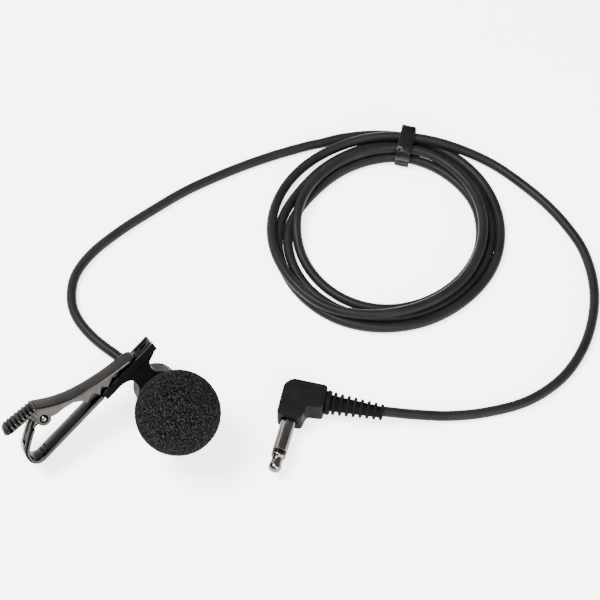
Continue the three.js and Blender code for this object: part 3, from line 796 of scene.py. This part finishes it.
# ---- finishes: every texture is procedural and in the piece's own metres ----
class Finish:
    """A Principled material whose colour, roughness and relief vary by noise."""

    def __init__(self, name, color, roughness, metallic=0.0, specular=0.5, sheen=0.0, rim=1.0):
        self.mat = bpy.data.materials.new(name)
        self.mat.use_nodes = True
        self.tree = self.mat.node_tree
        self.shader = self.tree.nodes["Principled BSDF"]
        self.set("Base Color", (*color, 1))
        self.set("Roughness", roughness)
        self.set("Metallic", metallic)
        self.set("Specular IOR Level", specular)
        self.set("Specular Tint", (rim, rim, rim, 1))
        self.set("Sheen Weight", sheen)
        self.roughness = roughness
        self.place = self.add("ShaderNodeTexCoord").outputs["Object"]
        self.bumps = []
        bpy.context.view_layer.update()

    def set(self, socket, value):
        self.shader.inputs[socket].default_value = value

    def add(self, kind, **settings):
        node = self.tree.nodes.new(kind)
        for key, value in settings.items():
            setattr(node, key, value)
        return node

    def link(self, a, b):
        self.tree.links.new(a, b)

    def noise(self, size, detail=4.0, rough=0.55, stretch=(1, 1, 1)):
        """Noise whose features are about `size` millimetres across."""
        move = self.add("ShaderNodeMapping")
        move.inputs["Scale"].default_value = stretch
        self.link(self.place, move.inputs["Vector"])
        node = self.add("ShaderNodeTexNoise")
        node.inputs["Scale"].default_value = 1 / (size * MM)
        node.inputs["Detail"].default_value = detail
        node.inputs["Roughness"].default_value = rough
        self.link(move.outputs["Vector"], node.inputs["Vector"])
        return node.outputs["Fac"]

    def cells(self, size):
        """Cells about `size` millimetres across, as the distance from each one's middle."""
        node = self.add("ShaderNodeTexVoronoi", feature="F1")
        node.inputs["Scale"].default_value = 1 / (size * MM)
        self.link(self.place, node.inputs["Vector"])
        return node.outputs["Distance"]

    def ramp(self, source, *stops):
        """The colour at the source's place between (place, colour) stops."""
        node = self.add("ShaderNodeValToRGB")
        ramp = node.color_ramp
        while len(ramp.elements) < len(stops):
            ramp.elements.new(0.5)
        for element, (at, color) in zip(ramp.elements, stops):
            element.position = at
            element.color = (*color, 1)
        self.link(source, node.inputs["Fac"])
        return node.outputs["Color"]

    def mottle(self, source, low, high, start=0.35, end=0.65):
        """The colour runs from low to high with the source."""
        self.link(self.ramp(source, (start, low), (end, high)), self.shader.inputs["Base Color"])
        return self

    def patchy(self, source, spread):
        """The roughness runs `spread` either side of its value with the source."""
        node = self.add("ShaderNodeMapRange")
        node.inputs["From Min"].default_value = 0.3
        node.inputs["From Max"].default_value = 0.7
        node.inputs["To Min"].default_value = self.roughness - spread
        node.inputs["To Max"].default_value = self.roughness + spread
        self.link(source, node.inputs["Value"])
        self.link(node.outputs["Result"], self.shader.inputs["Roughness"])
        return self

    def math(self, operation, a, b):
        """One number from two, each a socket or a plain value."""
        node = self.add("ShaderNodeMath", operation=operation)
        for socket, value in zip(node.inputs, (a, b)):
            if isinstance(value, (int, float)):
                socket.default_value = value
            else:
                self.link(value, socket)
        return node.outputs["Value"]

    def product(self, *values):
        """All the numbers multiplied, each a socket or a plain value."""
        total = values[0]
        for value in values[1:]:
            total = self.math("MULTIPLY", total, value)
        return total

    def along(self, source, axis):
        """How far a vector output reaches along an axis."""
        node = self.add("ShaderNodeVectorMath", operation="DOT_PRODUCT")
        node.inputs[1].default_value = axis
        self.link(source, node.inputs[0])
        return node.outputs["Value"]

    def shade(self, source, start, end, amount):
        """Darkens the base colour by `amount` as the source runs from start to end."""
        socket = self.shader.inputs["Base Color"]
        fade = self.add("ShaderNodeMapRange")
        for key, value in (("From Min", start), ("From Max", end), ("To Min", 1.0), ("To Max", 1 - amount)):
            fade.inputs[key].default_value = value
        self.link(source, fade.inputs["Value"])
        scale = self.add("ShaderNodeVectorMath", operation="SCALE")
        self.link(socket.links[0].from_socket, scale.inputs[0])
        self.link(fade.outputs["Result"], scale.inputs["Scale"])
        self.link(scale.outputs["Vector"], socket)
        return self

    def relief(self, source, depth, strength=1.0):
        """Relief of `depth` millimetres from the source, on top of any before it."""
        node = self.add("ShaderNodeBump")
        node.inputs["Strength"].default_value = strength
        node.inputs["Distance"].default_value = depth * MM
        self.link(source, node.inputs["Height"])
        if self.bumps:
            self.link(self.bumps[-1].outputs["Normal"], node.inputs["Normal"])
        self.bumps.append(node)
        self.link(node.outputs["Normal"], self.shader.inputs["Normal"])
        return self

    def on(self, *objects):
        """Puts the finish on these objects."""
        for obj in objects:
            if obj.material_slots:
                for slot in obj.material_slots:
                    slot.material = self.mat
            else:
                obj.data.materials.append(self.mat)
        return self


def grey(v, warm=0.0):
    """A grey of brightness v, a little warm or cold."""
    return (v * (1 + warm), v, v * (1 - warm))


def foam_finish():
    f = Finish("foam", grey(0.006), 0.95, specular=0.02)
    cell = f.cells(0.45)
    grain = f.noise(0.34, 3.0, 0.7)
    f.mottle(grain, grey(0.0008), grey(0.042), 0.5, 0.74)
    f.relief(cell, 0.16, 0.8)
    f.relief(grain, 0.1, 0.9)
    return f


def cord_finish():
    f = Finish("cord_jacket", grey(0.006), 0.42, specular=0.06)
    f.mottle(f.noise(7.0), grey(0.0048), grey(0.0072, 0.02))
    f.patchy(f.noise(3.0), 0.05)
    f.relief(f.noise(0.25, 3.0), 0.012, 0.5)
    f.relief(f.noise(4.0, 1.0), 0.05, 0.25)
    return f


def plated_finish(name, color, roughness):
    """Bright plating over drawn metal: faint lines along the part, soft stains and fine pits."""
    f = Finish(name, color, roughness, metallic=1.0, rim=0.5)
    dark = tuple(c * 0.82 for c in color)
    light = tuple(c * 1.18 for c in color)
    f.mottle(f.noise(5.0, 3.0), dark, light)
    f.patchy(f.noise(1.6, 5.0), 0.06)
    f.relief(f.noise(0.5, 4.0, 0.6, (1, 1, 0.3)), 0.003, 0.3)
    f.relief(f.noise(0.12, 2.0), 0.001, 0.3)
    return f


# heights that bound the painted shade: the pad's grooves lie above PAD_INNER_Z, and the lower jaw's top
# lies below LOWER_JAW_TOP
PAD_INNER_Z, LOWER_JAW_TOP = 19.2, 11.4


def gunmetal_finish():
    """Dark plating with painted shade: darker on the faces turned the way of the upper jaw, on the lower
    jaw's top under the upper jaw, and in the pad's grooves.
    """
    f = plated_finish("gunmetal", GUNMETAL, 0.2)
    upward = f.along(f.add("ShaderNodeTexCoord").outputs["Normal"], UP)
    # painted shade: the faces turned the way of the upper jaw are made darker
    f.shade(upward, 0.55, 0.9, 0.42)
    x = f.math("SUBTRACT", f.along(f.place, ALONG), (HEAD_AT.dot(ALONG) + RIB_FIRST) * MM)
    z = f.math("SUBTRACT", f.along(f.place, UP), HEAD_AT.dot(UP) * MM)
    # painted shade on the lower jaw's upward faces, below the upper jaw
    shade_under_upper_jaw = f.product(
        f.math("LESS_THAN", z, LOWER_JAW_TOP * MM),
        f.math("GREATER_THAN", upward, 0.6),
    )
    f.shade(shade_under_upper_jaw, 0, 1, 0.5)
    # painted shade in the thumb pad's grooves, between the ribs
    wave = f.math("COSINE", f.product(x, 2 * math.pi / (RIB_PITCH * MM)), 0)
    groove_shade_on_pad = f.product(
        wave, -1,
        f.math("LESS_THAN", x, (RIBS - 0.5) * RIB_PITCH * MM),
        f.math("GREATER_THAN", z, PAD_INNER_Z * MM),
        f.math("GREATER_THAN", x, -0.6 * RIB_PITCH * MM),
    )
    f.shade(groove_shade_on_pad, 0.1, 0.6, 0.96)
    return f


def moulded_finish(name, v, roughness, grain=0.2, depth=0.012, specular=0.08):
    """Moulded plastic with a fine even grain and slight handling shine."""
    f = Finish(name, grey(v), roughness, specular=specular, rim=0.6)
    f.mottle(f.noise(4.0), grey(v * 0.85), grey(v * 1.2, 0.02))
    f.patchy(f.noise(2.2), 0.06)
    f.relief(f.noise(grain, 3.0, 0.6), depth, 0.6)
    return f


def tie_finish():
    f = Finish("tie_strap", grey(0.004), 0.2, specular=0.1)
    f.mottle(f.noise(2.0), grey(0.003), grey(0.006, -0.03))
    f.patchy(f.noise(1.0), 0.05)
    f.relief(f.noise(1.1, 2.0), 0.09, 0.55)
    return f


def board_finish():
    f = Finish("circuit_board", (0.012, 0.09, 0.025), 0.35)
    f.mottle(f.noise(0.8), (0.008, 0.06, 0.018), (0.02, 0.13, 0.04))
    f.relief(f.noise(0.15), 0.01, 0.5)
    return f


def felt_finish():
    v, grain = 0.03, 0.15
    f = Finish("capsule_felt", grey(v), 0.95, specular=0.2, sheen=0.3)
    f.mottle(f.noise(grain, 5.0, 0.8), grey(v * 0.6), grey(v * 1.5))
    f.relief(f.noise(grain, 5.0, 0.8), 0.05, 0.8)
    return f


GUNMETAL = (0.0185, 0.0172, 0.0160)
DARK_STEEL = (0.014, 0.013, 0.012)
NICKEL = (0.105, 0.093, 0.083)
ALUMINIUM = (0.62, 0.63, 0.64)
foam_finish().on(foam)
cord_finish().on(cord)
gunmetal_finish().on(low_jaw, top_jaw)
plated_finish("dark_steel", DARK_STEEL, 0.3).on(
    spring, spring_arm, nodes["holder_rivet"], nodes["mic_front_grille"],
)
plated_finish("nickel", NICKEL, 0.16).on(nodes["jack_sleeve"], tip, nodes["pivot_pin"])
plated_finish("capsule_aluminium", ALUMINIUM, 0.3).on(nodes["capsule_can"])
moulded_finish("black_plastic", 0.0035, 0.38, grain=0.3, specular=0.004).on(
    boot, nodes["ring_holder"], nodes["mic_rear_cap"],
)
moulded_finish("plug_plastic", 0.0048, 0.42, grain=0.16, depth=0.016, specular=0.008).on(plug, relief)
moulded_finish("jack_insulator", 0.003, 0.2, grain=0.3, depth=0.004).on(nodes["jack_insulator"])
moulded_finish("microphone_metal", 0.014, 0.42, grain=0.4, depth=0.006, specular=0.0).on(
    nodes["mic_head_shell"],
)
moulded_finish("gasket_rubber", 0.005, 0.7).on(nodes["capsule_gasket"])
felt_finish().on(nodes["capsule_felt"])
board_finish().on(nodes["capsule_board"])
tie_finish().on(tie)

# ---- floor and light ----
FLOOR_HALF, FLOOR_GLOW = 3, 2.4
WORLD_COLOR, WORLD_STRENGTH = (0.95, 0.96, 1.0, 1), 0.6


def make_floor():
    data = bpy.data.meshes.new("floor")
    corners = rectangle(-FLOOR_HALF, FLOOR_HALF, -FLOOR_HALF, FLOOR_HALF)
    data.from_pydata([(x, y, 0) for x, y in corners], [], [(0, 1, 2, 3)])
    obj = new_object("floor", data)
    return obj


def area_light(name, at, size, power):
    """A soft light at a place, turned towards what the camera looks at."""
    data = bpy.data.lights.new(name, "AREA")
    data.shape = "RECTANGLE"
    data.size, data.size_y = size
    data.energy = power
    obj = new_object(name, data)
    obj.location = at
    obj.rotation_euler = (LOOK_AT - Vector(at)).to_track_quat("-Z", "Y").to_euler()


floor = make_floor()
floor_finish = Finish("floor", grey(0.92), 0.6, specular=0.2)
floor_finish.mottle(floor_finish.noise(60.0), grey(0.91), grey(0.93)).on(floor)
floor_finish.set("Emission Color", (1, 1, 1, 1))
floor_finish.set("Emission Strength", FLOOR_GLOW)
area_light("key", (-0.23, 0.03, 0.62), (0.3, 0.3), 15)
area_light("fill", (0.15, -0.42, 0.62), (0.4, 0.3), 6)
area_light("rim", (-0.33, 0.46, 0.31), (0.35, 0.35), 2)
area_light("card", (0.41, -0.42, 0.165), (0.4, 0.3), 6)
world = bpy.data.worlds.new("studio")
world.use_nodes = True
backdrop = world.node_tree.nodes["Background"]
backdrop.inputs["Color"].default_value = WORLD_COLOR
backdrop.inputs["Strength"].default_value = WORLD_STRENGTH
bpy.context.scene.world = world

bpy.context.view_layer.update()
